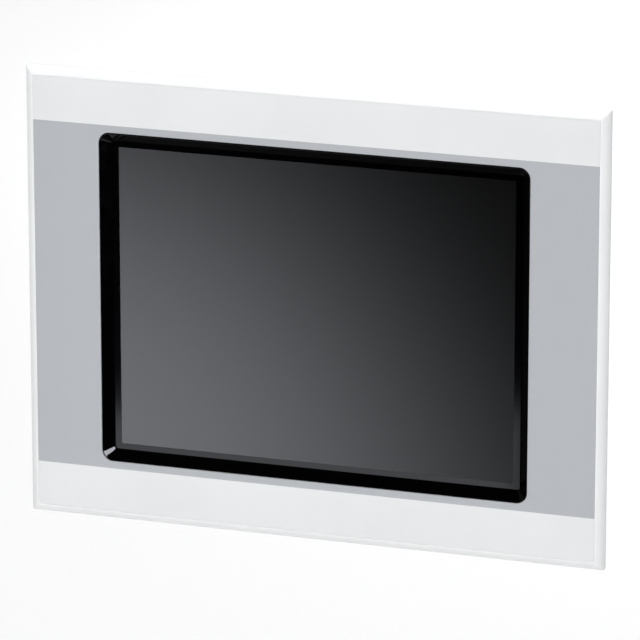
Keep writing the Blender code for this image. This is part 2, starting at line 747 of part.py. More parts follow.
def build_clamps():
    foot_y0, foot_y1 = CLAMP_FOOT_Y
    socket_y = foot_y1 - 1.5
    foot_profile = (
        (2.4, foot_y0),
        (3.0, foot_y0 + 0.6),
        (3.0, foot_y1),
        (1.5, foot_y1),
        (1.5, socket_y),
    )
    tip_y = socket_y + GAP
    pin_profile = (
        (1.1, tip_y),
        (1.1, foot_y1 + GAP),
        (CLAMP_PIN_R, foot_y1 + GAP + 0.5),
        (CLAMP_PIN_R, 25.6),
        (1.6, 26.0),
    )
    driver_slot = boxes(((-3.0, 24.4, -0.4), (3.0, 27.0, 0.4)))
    firsts = None
    for place, (x, z), turn in clamp_places():
        frame = bpy.data.objects.new(f"clamp_frame_{place}", None)
        bpy.context.scene.collection.objects.link(frame)
        frame.location = (x * MM, 0.0, z * MM)
        frame.rotation_euler = (0.0, math.radians(turn), 0.0)
        names = [f"clamp_{piece}_{place}" for piece in ("bracket", "pin", "foot")]
        if firsts is None:
            boss, steps = clamp_bracket_shape()
            pin = turned(pin_profile, 16, (0.0, 0.0))
            foot = turned(foot_profile, 16, (0.0, 0.0))
            firsts = [
                new_part(names[0], "zinc_steel", boss, steps),
                new_part(names[1], "zinc_steel", pin, [("DIFFERENCE", driver_slot)]),
                new_part(names[2], "brass", foot),
            ]
            pieces = firsts
        else:
            pieces = [copy_part(source, name) for source, name in zip(firsts, names)]
        for piece in pieces:
            piece.parent = frame
        for piece in pieces[1:]:
            piece.location = (0.0, 0.0, CLAMP_PIN_OUT * MM)


def main():
    for thing in list(bpy.data.objects):
        bpy.data.objects.remove(thing)
    build_front_frame()
    build_touch_bezel()
    build_light_boards()
    build_display()
    build_display_carrier()
    build_panel_gasket()
    build_rear_housing()
    build_rear_cover()
    build_boards()
    build_heat_sink()
    build_battery()
    build_card()
    build_data_ports()
    build_nine_way_ports()
    build_power_connector()
    build_button_and_earth()
    build_clamps()
    bpy.context.view_layer.update()


main()
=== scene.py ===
# %% [markdown]
# # A flush-mounted touch panel
# This lesson dresses a working model of an operator panel: a 12.1-inch touch display in a pale frame, made
# to be clamped into a cabinet door. The working model, the frame of this lesson, already has every part in
# its right place and size. Here each visible part gets its finer shape and its finish, one step at a time.

# %% Load the fixed frame
import json
import math

import bmesh
import bpy
from mathutils import Euler, Matrix, Vector


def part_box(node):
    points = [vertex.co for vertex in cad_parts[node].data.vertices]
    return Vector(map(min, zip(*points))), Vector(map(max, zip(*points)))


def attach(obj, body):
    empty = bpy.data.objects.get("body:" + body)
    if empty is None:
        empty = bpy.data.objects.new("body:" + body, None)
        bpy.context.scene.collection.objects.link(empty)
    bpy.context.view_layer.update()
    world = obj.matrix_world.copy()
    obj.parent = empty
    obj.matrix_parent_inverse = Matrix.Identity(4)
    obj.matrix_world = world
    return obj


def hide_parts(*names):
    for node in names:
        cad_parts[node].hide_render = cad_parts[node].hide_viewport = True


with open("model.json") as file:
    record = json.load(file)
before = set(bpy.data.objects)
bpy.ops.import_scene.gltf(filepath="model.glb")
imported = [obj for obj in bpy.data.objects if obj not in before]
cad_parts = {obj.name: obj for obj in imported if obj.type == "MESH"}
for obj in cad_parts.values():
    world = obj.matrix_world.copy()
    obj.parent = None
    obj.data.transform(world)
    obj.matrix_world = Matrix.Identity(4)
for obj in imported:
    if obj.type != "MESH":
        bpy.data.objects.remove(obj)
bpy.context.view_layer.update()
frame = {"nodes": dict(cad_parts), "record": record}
MM = 0.001

# %% [markdown]
# The camera comes first. It stands to the operator's right and a little above, far away behind a long lens,
# so that the panel keeps its proportions. A helper turns azimuth and elevation into a place, because those
# two angles are what one sees and talks about.

# %% Camera
CAMERA_AZIMUTH = 18.5
CAMERA_ELEVATION = 16.5
CAMERA_DISTANCE = 3.133
CAMERA_LENS = 297.2
CAMERA_TARGET = Vector((0.0025, 0.0, -0.0035))
SENSOR_WIDTH = 36.0
SEEN_TO = 50.0                 # metres


def direction(azimuth, elevation):
    """Unit vector from the panel towards a viewer; azimuth 0 is straight in front of the screen."""
    a, e = math.radians(azimuth), math.radians(elevation)
    return Vector((math.sin(a) * math.cos(e), -math.cos(a) * math.cos(e), math.sin(e)))


def place_camera():
    data = bpy.data.cameras.new("camera")
    data.lens = CAMERA_LENS
    data.sensor_width = SENSOR_WIDTH
    data.clip_end = SEEN_TO
    camera = bpy.data.objects.new("camera", data)
    back = direction(CAMERA_AZIMUTH, CAMERA_ELEVATION)
    camera.location = CAMERA_TARGET + back * CAMERA_DISTANCE
    camera.rotation_euler = (-back).to_track_quat("-Z", "Y").to_euler()
    bpy.context.scene.collection.objects.link(camera)
    bpy.context.scene.camera = camera
    print("camera at", [round(v, 2) for v in camera.location])


place_camera()

# %% [markdown]
# ## Finishes
# Every finish is a node material. One helper makes the Principled shader and sets its plain values on its
# own sockets; a second feeds it a pattern that lives in object space, in metres, so that a grain of a
# third of a millimetre has that size on a screw and on the frame alike.

# %% Helpers for materials
def new_finish(name, base, roughness, metallic=0.0, **plain):
    """A Principled material with its plain values set; returns (material, node tree, shader)."""
    material = bpy.data.materials.new(name)
    material.use_nodes = True
    tree = material.node_tree
    shader = tree.nodes["Principled BSDF"]
    shader.inputs["Base Color"].default_value = (*base, 1.0)
    shader.inputs["Roughness"].default_value = roughness
    shader.inputs["Metallic"].default_value = metallic
    for socket, value in plain.items():
        shader.inputs[socket.replace("_", " ")].default_value = value
    material.diffuse_color = (*base, 1.0)
    return material, tree, shader


def add_node(tree, kind, **settings):
    node = tree.nodes.new(kind)
    for key, value in settings.items():
        setattr(node, key, value)
    return node


def calculate(tree, operation, *values):
    """A Math node fed with sockets."""
    node = add_node(tree, "ShaderNodeMath", operation=operation)
    for value, socket in zip(values, node.inputs):
        tree.links.new(value, socket)
    return node.outputs[0]


def own_coordinates(tree):
    return add_node(tree, "ShaderNodeTexCoord").outputs["Object"]


def axes_of(tree, vector):
    node = add_node(tree, "ShaderNodeSeparateXYZ")
    tree.links.new(vector, node.inputs["Vector"])
    return node.outputs


def bricks(tree, scale_mm, mortar, width, height, stagger, corner_mm=(0.0, 0.0)):
    """Brick pattern in the upright plane: 1 on the mortar, 0 on the bricks."""
    mapping = add_node(tree, "ShaderNodeMapping")
    mapping.inputs["Rotation"].default_value = (math.radians(90.0), 0.0, 0.0)
    mapping.inputs["Location"].default_value = (corner_mm[0] * MM, corner_mm[1] * MM, 0.0)
    tree.links.new(own_coordinates(tree), mapping.inputs["Vector"])
    texture = add_node(tree, "ShaderNodeTexBrick", offset=stagger)
    texture.inputs["Scale"].default_value = 1.0 / (scale_mm * MM)
    texture.inputs["Mortar Size"].default_value = mortar
    texture.inputs["Brick Width"].default_value = width
    texture.inputs["Row Height"].default_value = height
    tree.links.new(mapping.outputs["Vector"], texture.inputs["Vector"])
    return texture.outputs["Fac"]


def noise(tree, size_mm, detail=2.0, stretch=(1.0, 1.0, 1.0)):
    """Noise whose grains are about size_mm across; stretch lengthens them along an axis."""
    mapping = add_node(tree, "ShaderNodeMapping")
    mapping.inputs["Scale"].default_value = [1.0 / s for s in stretch]
    tree.links.new(own_coordinates(tree), mapping.inputs["Vector"])
    texture = add_node(tree, "ShaderNodeTexNoise")
    texture.inputs["Scale"].default_value = 1.0 / (size_mm * MM)
    texture.inputs["Detail"].default_value = detail
    tree.links.new(mapping.outputs["Vector"], texture.inputs["Vector"])
    return texture.outputs["Fac"]


def spread(tree, value, low, high, start=0.3, end=0.7):
    """Map a 0..1 pattern onto low..high."""
    node = add_node(tree, "ShaderNodeMapRange", interpolation_type="SMOOTHSTEP")
    node.inputs["From Min"].default_value = start
    node.inputs["From Max"].default_value = end
    node.inputs["To Min"].default_value = low
    node.inputs["To Max"].default_value = high
    tree.links.new(value, node.inputs["Value"])
    return node.outputs["Result"]


def two_tone(tree, factor, first, second):
    """Mix two colours by a factor; either colour may be a socket."""
    node = add_node(tree, "ShaderNodeMix", data_type="RGBA")
    tree.links.new(factor, node.inputs["Factor"])
    colour_sockets = [s for s in node.inputs if s.type == "RGBA"]
    for socket, colour in zip(colour_sockets, (first, second)):
        if isinstance(colour, bpy.types.NodeSocket):
            tree.links.new(colour, socket)
        else:
            socket.default_value = (*colour, 1.0)
    return [s for s in node.outputs if s.type == "RGBA"][0]


def bump(tree, shader, height, depth_mm):
    """Raise the surface by a pattern, depth_mm from its lowest to its highest."""
    node = add_node(tree, "ShaderNodeBump")
    node.inputs["Distance"].default_value = depth_mm * MM
    tree.links.new(height, node.inputs["Height"])
    tree.links.new(node.outputs["Normal"], shader.inputs["Normal"])


def shade(colour, factor):
    return tuple(c * factor for c in colour)


print("helpers ready")

# %% [markdown]
# The frame is a smooth near-white moulding. A moulding is never quite even: the finish keeps a faint cloudy
# tone, and a gloss that changes a little from one side of the frame to the other.

# %% Finish: white moulding
def make_frame_white():
    material, tree, shader = new_finish(
        "frame_white", (0.83, 0.84, 0.85), 0.30, IOR=1.5, Coat_Weight=0.25, Coat_Roughness=0.12
    )
    cloud = spread(tree, noise(tree, 60.0, detail=3.0), 0.0, 1.0)
    colour = two_tone(tree, cloud, (0.775, 0.785, 0.795), (0.80, 0.81, 0.815))
    tree.links.new(colour, shader.inputs["Base Color"])
    tree.links.new(spread(tree, noise(tree, 40.0), 0.29, 0.32), shader.inputs["Roughness"])
    return material


frame_white = make_frame_white()
print("made", frame_white.name)

# %% [markdown]
# The overlay is one printed film: silver grey in the middle, near-white in a band at the top and the bottom.
# The two inks meet on a straight printed edge, so the material asks how high each point lies and switches
# colour there. The silver ink holds fine metal flakes; their faint, close-grained sparkle is a painted
# glint, a lighter colour at the middle of each flake. The film itself is satin, which shows as a fine even
# grain.

# %% Finish: printed overlay
BAND_EDGE = 106.9 * MM          # height of the printed edge above and below the middle
PRINT_EDGE = 0.12 * MM          # half the width over which one ink fades into the other
FLAKE_SIZE = 0.22 * MM


def make_overlay_print():
    material, tree, shader = new_finish("overlay_print", (0.46, 0.48, 0.51), 0.42, IOR=1.48)
    height = calculate(tree, "ABSOLUTE", axes_of(tree, own_coordinates(tree))["Z"])
    in_band = spread(tree, height, 0.0, 1.0, BAND_EDGE - PRINT_EDGE, BAND_EDGE + PRINT_EDGE)

    flakes = add_node(tree, "ShaderNodeTexVoronoi", feature="F1")
    flakes.inputs["Scale"].default_value = 1.0 / FLAKE_SIZE
    tree.links.new(own_coordinates(tree), flakes.inputs["Vector"])
    # painted glint: the base colour is lighter at the middle of each flake, standing in for its sparkle
    painted_glint = spread(tree, flakes.outputs["Distance"], 1.0, 0.0, 0.05, 0.75)
    silver = two_tone(tree, painted_glint, (0.475, 0.493, 0.522), (0.56, 0.578, 0.606))
    cloud = spread(tree, noise(tree, 80.0, detail=3.0), 0.0, 1.0)
    pale = two_tone(tree, cloud, (0.845, 0.855, 0.87), (0.87, 0.88, 0.89))
    colour = two_tone(tree, in_band, silver, pale)
    tree.links.new(colour, shader.inputs["Base Color"])
    tree.links.new(spread(tree, noise(tree, 14.0), 0.39, 0.46), shader.inputs["Roughness"])
    bump(tree, shader, noise(tree, 0.25, detail=1.0), 0.003)
    return material


overlay_print = make_overlay_print()
print("made", overlay_print.name, "with its edge at", BAND_EDGE / MM, "mm")

# %% [markdown]
# The slope round the screen is polished black, clear only to infrared. Polished black shows every wipe mark,
# so its roughness wanders a little along one direction. The mould left it almost, but not quite, flat.

# %% Finish: polished black
def make_polished_black():
    material, tree, shader = new_finish(
        "polished_black", (0.0006, 0.0006, 0.0007), 0.06, IOR=1.52, Coat_Weight=0.5, Coat_Roughness=0.03
    )
    wiped = noise(tree, 6.0, detail=4.0, stretch=(5.0, 1.0, 1.0))
    tree.links.new(spread(tree, wiped, 0.045, 0.11), shader.inputs["Roughness"])
    bump(tree, shader, noise(tree, 25.0), 0.012)
    return material


polished_black = make_polished_black()
print("made", polished_black.name)

# %% [markdown]
# The glass carries a printed black margin round the picture area. The picture area is the dull, dark grey of
# a switched-off display seen through an anti-glare surface, so it scatters a reflection widely; the margin
# is smoother and blacker. Two distances from the middle, compared with the picture's half width and half
# height, give the mask that switches between them.

# %% Finish: display glass
PICTURE_HALF = (123.2 * MM, 92.4 * MM)     # a 12.1-inch display at 4:3
DISPLAY_ROUGHNESS = 0.50
MARGIN_ROUGHNESS = 0.09
MOTTLE = 0.006


def make_display_surface():
    material, tree, shader = new_finish("display_surface", (0.001, 0.001, 0.001), DISPLAY_ROUGHNESS, IOR=1.5)
    axes = axes_of(tree, own_coordinates(tree))
    sides = []
    for axis, half in zip("XZ", PICTURE_HALF):
        distance = calculate(tree, "ABSOLUTE", axes[axis])
        sides.append(spread(tree, distance, 0.0, 1.0, half - PRINT_EDGE, half + PRINT_EDGE))
    margin = calculate(tree, "MAXIMUM", *sides)
    colour = two_tone(tree, margin, (0.0003, 0.0003, 0.0004), (0.0002, 0.0002, 0.0003))
    tree.links.new(colour, shader.inputs["Base Color"])
    mottle = spread(tree, noise(tree, 6.0), -MOTTLE, MOTTLE)
    base = spread(tree, margin, DISPLAY_ROUGHNESS, MARGIN_ROUGHNESS, 0.0, 1.0)
    tree.links.new(calculate(tree, "ADD", base, mottle), shader.inputs["Roughness"])
    return material


display_surface = make_display_surface()
print("made", display_surface.name)

# %% [markdown]
# The housing is zinc-coated sheet. Molten zinc freezes in flat crystals, the spangle, each of which throws
# the light back a little differently. Voronoi cells are that shape: each cell gets its own tone and its own
# roughness, and long fine rolling marks run over all of them.

# %% Finish: zinc-coated sheet
def make_spangled_sheet(name, size_mm, dark, light):
    material, tree, shader = new_finish(name, dark, 0.42, metallic=1.0)
    cells = add_node(tree, "ShaderNodeTexVoronoi", feature="F1")
    cells.inputs["Scale"].default_value = 1.0 / (size_mm * MM)
    tree.links.new(own_coordinates(tree), cells.inputs["Vector"])
    tone = add_node(tree, "ShaderNodeSeparateColor")
    tree.links.new(cells.outputs["Color"], tone.inputs["Color"])
    rolling = noise(tree, 0.8, detail=3.0, stretch=(40.0, 1.0, 1.0))
    crystal = two_tone(tree, tone.outputs["Red"], dark, light)
    worn = two_tone(tree, spread(tree, rolling, 0.0, 0.35), crystal, shade(light, 1.05))
    tree.links.new(worn, shader.inputs["Base Color"])
    tree.links.new(spread(tree, tone.outputs["Green"], 0.38, 0.48, 0.0, 1.0), shader.inputs["Roughness"])
    bump(tree, shader, rolling, 0.006)
    return material


housing_sheet = make_spangled_sheet("housing_sheet", 7.0, (0.50, 0.51, 0.52), (0.62, 0.63, 0.64))
inner_sheet = make_spangled_sheet("inner_sheet", 3.0, (0.60, 0.61, 0.62), (0.70, 0.71, 0.72))
print("made", housing_sheet.name, "and", inner_sheet.name)

# %% [markdown]
# Small metal parts share one recipe: a plated or turned metal with a slight change of tone from place to
# place, fine marks in one direction and a roughness that wanders. Only colours and sizes differ.

# %% Finish: plated and turned metals
def make_small_metal(name, base, second, roughness, mark_mm, stretch):
    material, tree, shader = new_finish(name, base, roughness, metallic=1.0)
    patch = spread(tree, noise(tree, 3.0, detail=3.0), 0.0, 1.0)
    tree.links.new(two_tone(tree, patch, base, second), shader.inputs["Base Color"])
    marks = noise(tree, mark_mm, stretch=stretch)
    tree.links.new(spread(tree, marks, roughness - 0.02, roughness + 0.04), shader.inputs["Roughness"])
    bump(tree, shader, marks, 0.0003)
    return material


zinc_plate, port_nickel, contact_gold, turned_brass, sink_aluminium = (
    make_small_metal(*recipe) for recipe in (
        ("zinc_plate", (0.60, 0.61, 0.60), (0.66, 0.66, 0.61), 0.30, 0.3, (1, 8, 1)),
        ("port_nickel", (0.62, 0.61, 0.59), (0.70, 0.69, 0.66), 0.24, 0.4, (1, 1, 8)),
        ("contact_gold", (0.83, 0.62, 0.24), (0.90, 0.70, 0.32), 0.22, 0.2, (1, 1, 5)),
        ("turned_brass", (0.66, 0.47, 0.20), (0.74, 0.56, 0.28), 0.28, 0.2, (1, 8, 1)),
        ("sink_aluminium", (0.66, 0.67, 0.68), (0.73, 0.74, 0.75), 0.36, 0.4, (1, 1, 20)),
    )
)
print("made five small metals")

# %% [markdown]
# Plastics and rubber share a second recipe: a moulded grain, a slight cloudiness in the colour, and patches
# that have been rubbed a little smoother.

# %% Finish: plastics and rubber
def make_moulded(name, base, roughness, grain_mm, grain_depth_mm, cloud=0.15):
    material, tree, shader = new_finish(name, base, roughness, IOR=1.48)
    patch = spread(tree, noise(tree, 5.0, detail=3.0), 0.0, 1.0)
    tones = (shade(base, 1.0 - cloud), shade(base, 1.0 + cloud))
    tree.links.new(two_tone(tree, patch, *tones), shader.inputs["Base Color"])
    rubbed = noise(tree, 2.5)
    tree.links.new(spread(tree, rubbed, roughness - 0.06, roughness + 0.06), shader.inputs["Roughness"])
    bump(tree, shader, noise(tree, grain_mm, detail=1.0), grain_depth_mm)
    return material


gasket_rubber = make_moulded("gasket_rubber", (0.018, 0.018, 0.019), 0.78, 0.5, 0.05, cloud=0.3)
black_moulding = make_moulded("black_moulding", (0.022, 0.022, 0.024), 0.48, 0.3, 0.02)
green_moulding = make_moulded("green_moulding", (0.025, 0.20, 0.09), 0.45, 0.3, 0.015)
grey_moulding = make_moulded("grey_moulding", (0.28, 0.29, 0.30), 0.45, 0.3, 0.015)
cell_black = make_moulded("cell_black", (0.025, 0.025, 0.03), 0.25, 0.6, 0.004)
print("made five plastics")

# %% [markdown]
# Circuit boards are green lacquer over copper. Where a track runs underneath, the lacquer stands up by a few
# hundredths of a millimetre and looks lighter. Thin bricks with wide gaps stand for the tracks.

# %% Finish: circuit board
def make_board_lacquer():
    material, tree, shader = new_finish("board_lacquer", (0.015, 0.13, 0.06), 0.35, IOR=1.5)
    tracks = bricks(tree, 9.0, mortar=0.035, width=1.7, height=0.22, stagger=0.5)
    lacquer = two_tone(tree, tracks, (0.012, 0.105, 0.05), (0.03, 0.20, 0.085))
    tree.links.new(lacquer, shader.inputs["Base Color"])
    tree.links.new(spread(tree, noise(tree, 4.0), 0.30, 0.42), shader.inputs["Roughness"])
    bump(tree, shader, tracks, 0.03)
    return material


board_lacquer = make_board_lacquer()
print("made", board_lacquer.name)

# %% [markdown]
# The rating plate stays blank but for a generic ruled form: an outline and a few thin lines, as on a label
# that has not been filled in. Bricks give the ruled fields.

# %% Finish: blank label
def make_label_print():
    material, tree, shader = new_finish("label_print", (0.72, 0.73, 0.74), 0.45)
    fields = bricks(tree, 10.0, mortar=0.02, width=3.5, height=1.0, stagger=0.0, corner_mm=(35.0, 18.0))
    ruled = two_tone(tree, fields, (0.70, 0.71, 0.72), (0.20, 0.21, 0.22))
    tree.links.new(ruled, shader.inputs["Base Color"])
    tree.links.new(spread(tree, noise(tree, 3.0), 0.40, 0.5), shader.inputs["Roughness"])
    return material


label_print = make_label_print()
print("made", label_print.name)

# %% [markdown]
# ## Shapes
# Most of the panel is made of rounded rectangles: frame, film, slope, glass, gasket. Each is a cross-section
# carried round a rounded rectangle. So one helper gives an outline at some depth, one eases the corners of
# a cross-section, so that edges catch the light as moulded edges do, and one lays a skin over outline after
# outline. The skin may close on itself as a ring, or end in two flat faces as a slab.

# %% Helpers for outlines and skins
CORNER_STEPS = 14
SHARPEST = 0.15                # smallest corner radius of an outline, in mm


def outline(half, wider, radius, y):
    """Rounded rectangle at depth y: half sizes and y in mm, made wider all round."""
    half_w, half_h = half[0] + wider, half[1] + wider
    points = []
    for corner, (sign_x, sign_z) in enumerate(((1, 1), (-1, 1), (-1, -1), (1, -1))):
        for step in range(CORNER_STEPS + 1):
            angle = math.radians(90.0) * (corner + step / CORNER_STEPS)
            x = sign_x * (half_w - radius) + radius * math.cos(angle)
            z = sign_z * (half_h - radius) + radius * math.sin(angle)
            points.append(Vector((x, y, z)) * MM)
    return points


def eased(section, steps=4):
    """Round the corners of a closed section of (out, y, easing, corner radius) points, all in mm."""
    rows = []
    for i, (out, y, easing, radius) in enumerate(section):
        here = Vector((out, y))
        if not easing:
            rows.append((out, radius, y))
            continue
        before, after = section[i - 1], section[(i + 1) % len(section)]
        start = here + (Vector(before[:2]) - here).normalized() * easing
        end = here + (Vector(after[:2]) - here).normalized() * easing
        for step in range(steps + 1):
            s = step / steps
            point = start * (1 - s) ** 2 + here * 2 * s * (1 - s) + end * s ** 2
            rows.append((point.x, max(SHARPEST, radius + point.x - out), point.y))
    return rows


def mesh_piece(name, shape, finish, sharp_degrees=32.0):
    """A new object from a bmesh, shaded smooth except across real edges."""
    bmesh.ops.remove_doubles(shape, verts=shape.verts, dist=1e-7)
    bmesh.ops.recalc_face_normals(shape, faces=shape.faces)
    mesh = bpy.data.meshes.new(name)
    shape.to_mesh(mesh)
    shape.free()
    mesh.materials.append(finish)
    mesh.shade_smooth()
    mesh.set_sharp_from_angle(angle=math.radians(sharp_degrees))
    piece = bpy.data.objects.new(name, mesh)
    bpy.context.scene.collection.objects.link(piece)
    return piece


def skin(outlines, ring=True):
    """Join closed outlines one to the next. A ring closes on itself; a slab gets two flat ends."""
    shape = bmesh.new()
    rows = [[shape.verts.new(point) for point in line] for line in outlines]
    count = len(rows[0])
    following = rows[1:] + rows[:1] if ring else rows[1:]
    for first, second in zip(rows, following):
        for i in range(count):
            j = (i + 1) % count
            shape.faces.new((first[i], first[j], second[j], second[i]))
    if not ring:
        shape.faces.new(rows[0])
        shape.faces.new(rows[-1])
    return shape


def stands_for(piece, body, slot, *nodes):
    """Hang a finished piece on its body and hide the plain nodes it stands for; slot is not used."""
    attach(piece, body)
    if nodes:
        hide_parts(*nodes)
    print(f"{piece.name}: {len(piece.data.polygons)} faces, on {body}")


UNIT = "unit"
print("helpers for shapes ready")

# %% [markdown]
# ### Front frame
# The frame is a moulding with a border that falls away towards the door in a soft convex slope. That slope
# is halfway between a straight chamfer and a quarter of an ellipse, so the code mixes the two. At the back
# there is a groove for the gasket and a pocket for the slope's flange.

# %% Front frame
frame_low, frame_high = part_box("front_frame")
FRAME_HALF = (frame_high.x / MM, frame_high.z / MM)
FRONT_Y = frame_low.y / MM
BACK_Y = frame_high.y / MM
BORDER_WIDTH = 4.9
BORDER_DEPTH = 3.6
BORDER_STEPS = 10
ROUNDNESS = 0.45               # 0 is a straight chamfer, 1 a quarter of an ellipse
WINDOW_IN = -46.8              # the window's edge, inwards from the frame's outside
WINDOW_RISE = 9.8              # above and below the window the frame is that much narrower
POCKET_IN = -40.7
FILM_SEAT_Y = FRONT_Y + 0.6
OUTER_RADIUS = 0.7
WINDOW_RADIUS = 7.0
WINDOW_ZONE = -20.0            # outlines further in than this belong to the window
GROOVE = (-12.9, -3.1)         # the gasket's groove: its inner and outer edges
GROOVE_DEPTH = 1.2
POCKET_Y = -6.0


def ring_outline(half, out, radius, y):
    """An outline of the frame or the film, whose window isn't an even step in from the outside."""
    raised = WINDOW_RISE if out < WINDOW_ZONE else 0.0
    return outline((half[0], half[1] + raised), out, radius, y)


def border_slope():
    """Section points from the border's front edge out to the frame's side."""
    points = []
    for step in range(BORDER_STEPS + 1):
        s = step / BORDER_STEPS
        turn = math.radians(90.0) * s
        out = ROUNDNESS * math.sin(turn) + (1 - ROUNDNESS) * s
        back = ROUNDNESS * (1 - math.cos(turn)) + (1 - ROUNDNESS) * s
        y = FRONT_Y + back * BORDER_DEPTH
        points.append(((out - 1) * BORDER_WIDTH, y, 0.0, OUTER_RADIUS + 0.3 * (1 - s)))
    return points


def make_front_frame():
    seat = -BORDER_WIDTH - 0.5
    inner, outer = GROOVE
    section = [
        (WINDOW_IN, FILM_SEAT_Y, 0.0, WINDOW_RADIUS),
        (seat, FILM_SEAT_Y, 0.0, 1.0),
        (seat, FRONT_Y, 0.08, 1.0),
        *border_slope(),
        (0.0, BACK_Y, 0.25, OUTER_RADIUS),
        (outer, BACK_Y, 0.15, 4.0),
        (outer, BACK_Y - GROOVE_DEPTH, 0.15, 4.0),
        (inner, BACK_Y - GROOVE_DEPTH, 0.15, 3.0),
        (inner, BACK_Y, 0.15, 3.0),
        (POCKET_IN, BACK_Y, 0.3, 5.0),
        (POCKET_IN, POCKET_Y, 0.0, 5.0),
        (WINDOW_IN, POCKET_Y, 0.0, WINDOW_RADIUS),
    ]
    outlines = [ring_outline(FRAME_HALF, *row) for row in eased(section)]
    piece = mesh_piece("frame_moulding", skin(outlines), frame_white)
    stands_for(piece, UNIT, "frame_edge", "front_frame")


make_front_frame()

# %% [markdown]
# ### Overlay film
# The film lies in the frame's shallow seat, flush with the border. Three tenths of a millimetre is thick
# enough to show as an edge, so its upper edge is eased too.

# %% Overlay film
FILM_FILL = 0.22               # how far the film's edge reaches into the gap round it


def make_overlay():
    film_low, film_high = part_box("front_film")
    half = (film_high.x / MM + FILM_FILL, film_high.z / MM + FILM_FILL)
    window = WINDOW_IN + FRAME_HALF[0] - half[0]
    front, back = film_low.y / MM, film_high.y / MM
    section = [
        (0.0, back, 0.0, 0.8),
        (0.0, front, 0.06, 0.8),
        (window, front, 0.1, WINDOW_RADIUS),
        (window, back, 0.0, WINDOW_RADIUS),
    ]
    outlines = [ring_outline(half, *row) for row in eased(section)]
    piece = mesh_piece("overlay_film", skin(outlines), overlay_print)
    stands_for(piece, UNIT, "front_film", "front_film")


make_overlay()

# %% [markdown]
# ### The slope round the screen
# The black ring starts at the glass with tight corners, climbs at 45 degrees and ends in a rounded lip that
# is level with the film. The lip's easing matters most: on polished black, an edge is seen only by the line
# of light along it.

# %% Slope round the screen
glass_low, glass_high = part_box("display_glass")
GLASS_MARGIN = 8.0
GLASS_HALF = (glass_high.x / MM, glass_high.z / MM)
SCREEN_HALF = (GLASS_HALF[0] - GLASS_MARGIN, GLASS_HALF[1] - GLASS_MARGIN)


def make_slope():
    section = [
        (0.0, -1.8, 0.0, 2.0),
        (0.0, -2.45, 0.3, 2.0),
        (5.05, FRONT_Y + 0.28, 0.35, 6.0),
        (5.3, FRONT_Y, 0.2, 6.2),
        (5.9, FRONT_Y, 0.22, 6.7),
        (5.9, -5.7, 0.0, 6.7),
        (11.7, -5.7, 0.2, 5.0),
        (11.7, -4.4, 0.2, 5.0),
        (4.4, -4.4, 0.0, 4.5),
        (1.6, -1.8, 0.0, 3.0),
    ]
    outlines = [outline(SCREEN_HALF, *row) for row in eased(section)]
    piece = mesh_piece("touch_slope", skin(outlines), polished_black)
    stands_for(piece, UNIT, "gloss_black", "touch_bezel")


make_slope()

# %% [markdown]
# ### Glass
# The glass is a ground slab: flat faces with narrow polished arrises.

# %% Glass
def make_glass():
    front, back, arris = glass_low.y / MM, glass_high.y / MM, 0.3
    rows = [(-arris, 2.7, front), (0.0, 3.0, front + arris), (0.0, 3.0, back - arris), (-arris, 2.7, back)]
    outlines = [outline(GLASS_HALF, *row) for row in rows]
    piece = mesh_piece("display_glass_plate", skin(outlines, ring=False), display_surface)
    stands_for(piece, UNIT, "screen_glass", "display_glass")


make_glass()

# %% [markdown]
# ## What repeats
# Screws, rivets, contacts, vent rims and threads repeat, so Geometry Nodes make them. Each tree is built here
# with named inputs for its sizes, ends in Realize Instances and Set Material, and is then turned into a
# plain mesh, so that the piece can leave Blender. The helpers start a tree, wire a node into it, end it, and
# grow a piece from it.

# %% Helpers for Geometry Nodes
SOCKETS = {int: "NodeSocketInt", float: "NodeSocketFloat", tuple: "NodeSocketVector"}


def start_tree(name, **sizes):
    """A new tree with one named input per size; returns the tree and its input sockets."""
    tree = bpy.data.node_groups.new(name, "GeometryNodeTree")
    tree.interface.new_socket("Geometry", in_out="OUTPUT", socket_type="NodeSocketGeometry")
    for label, value in sizes.items():
        kind = "NodeSocketObject" if value is None else SOCKETS[type(value)]
        socket = tree.interface.new_socket(label, in_out="INPUT", socket_type=kind)
        if value is not None:
            socket.default_value = value
    return tree, add_node(tree, "NodeGroupInput").outputs


def wire(tree, kind, links, values=(), **settings):
    """Add a node, link sockets into it and set plain values; returns its first output."""
    node = add_node(tree, kind, **settings)
    for label, source in dict(links).items():
        tree.links.new(source, node.inputs[label])
    for label, value in dict(values).items():
        node.inputs[label].default_value = value
    return node.outputs[0] if node.outputs else None


def end_tree(tree, geometry, finish):
    solid = wire(tree, "GeometryNodeRealizeInstances", {"Geometry": geometry})
    coated = wire(tree, "GeometryNodeSetMaterial", {"Geometry": solid}, {"Material": finish})
    wire(tree, "NodeGroupOutput", {"Geometry": coated})
    return tree


def grow(name, tree, finish, **sizes):
    """Run a tree once with the given inputs and keep the result as a plain mesh."""
    carrier = bpy.data.objects.new(name + "_carrier", bpy.data.meshes.new(name + "_carrier"))
    bpy.context.scene.collection.objects.link(carrier)
    modifier = carrier.modifiers.new("tree", "NODES")
    modifier.node_group = tree
    identifiers = {item.name: item.identifier for item in tree.interface.items_tree}
    for label, value in sizes.items():
        modifier[identifiers[label]] = value
    evaluated = carrier.evaluated_get(bpy.context.evaluated_depsgraph_get())
    mesh = bpy.data.meshes.new_from_object(evaluated)
    bpy.data.objects.remove(carrier)
    shape = bmesh.new()
    shape.from_mesh(mesh)
    bpy.data.meshes.remove(mesh)
    return mesh_piece(name, shape, finish)


print("helpers for trees ready")

# %% [markdown]
# ### Door gasket
# The gasket is an extruded rubber strip bent round the frame. In nodes that is a rectangle with filleted
# corners, and a small rounded section swept along it.

# %% Door gasket
GASKET_WIDTH = 9.0 * MM
GASKET_FILLET = 4.0 * MM
STRIP_FILLET = 0.6 * MM
UPRIGHT = Euler((math.radians(90.0), 0.0, 0.0))


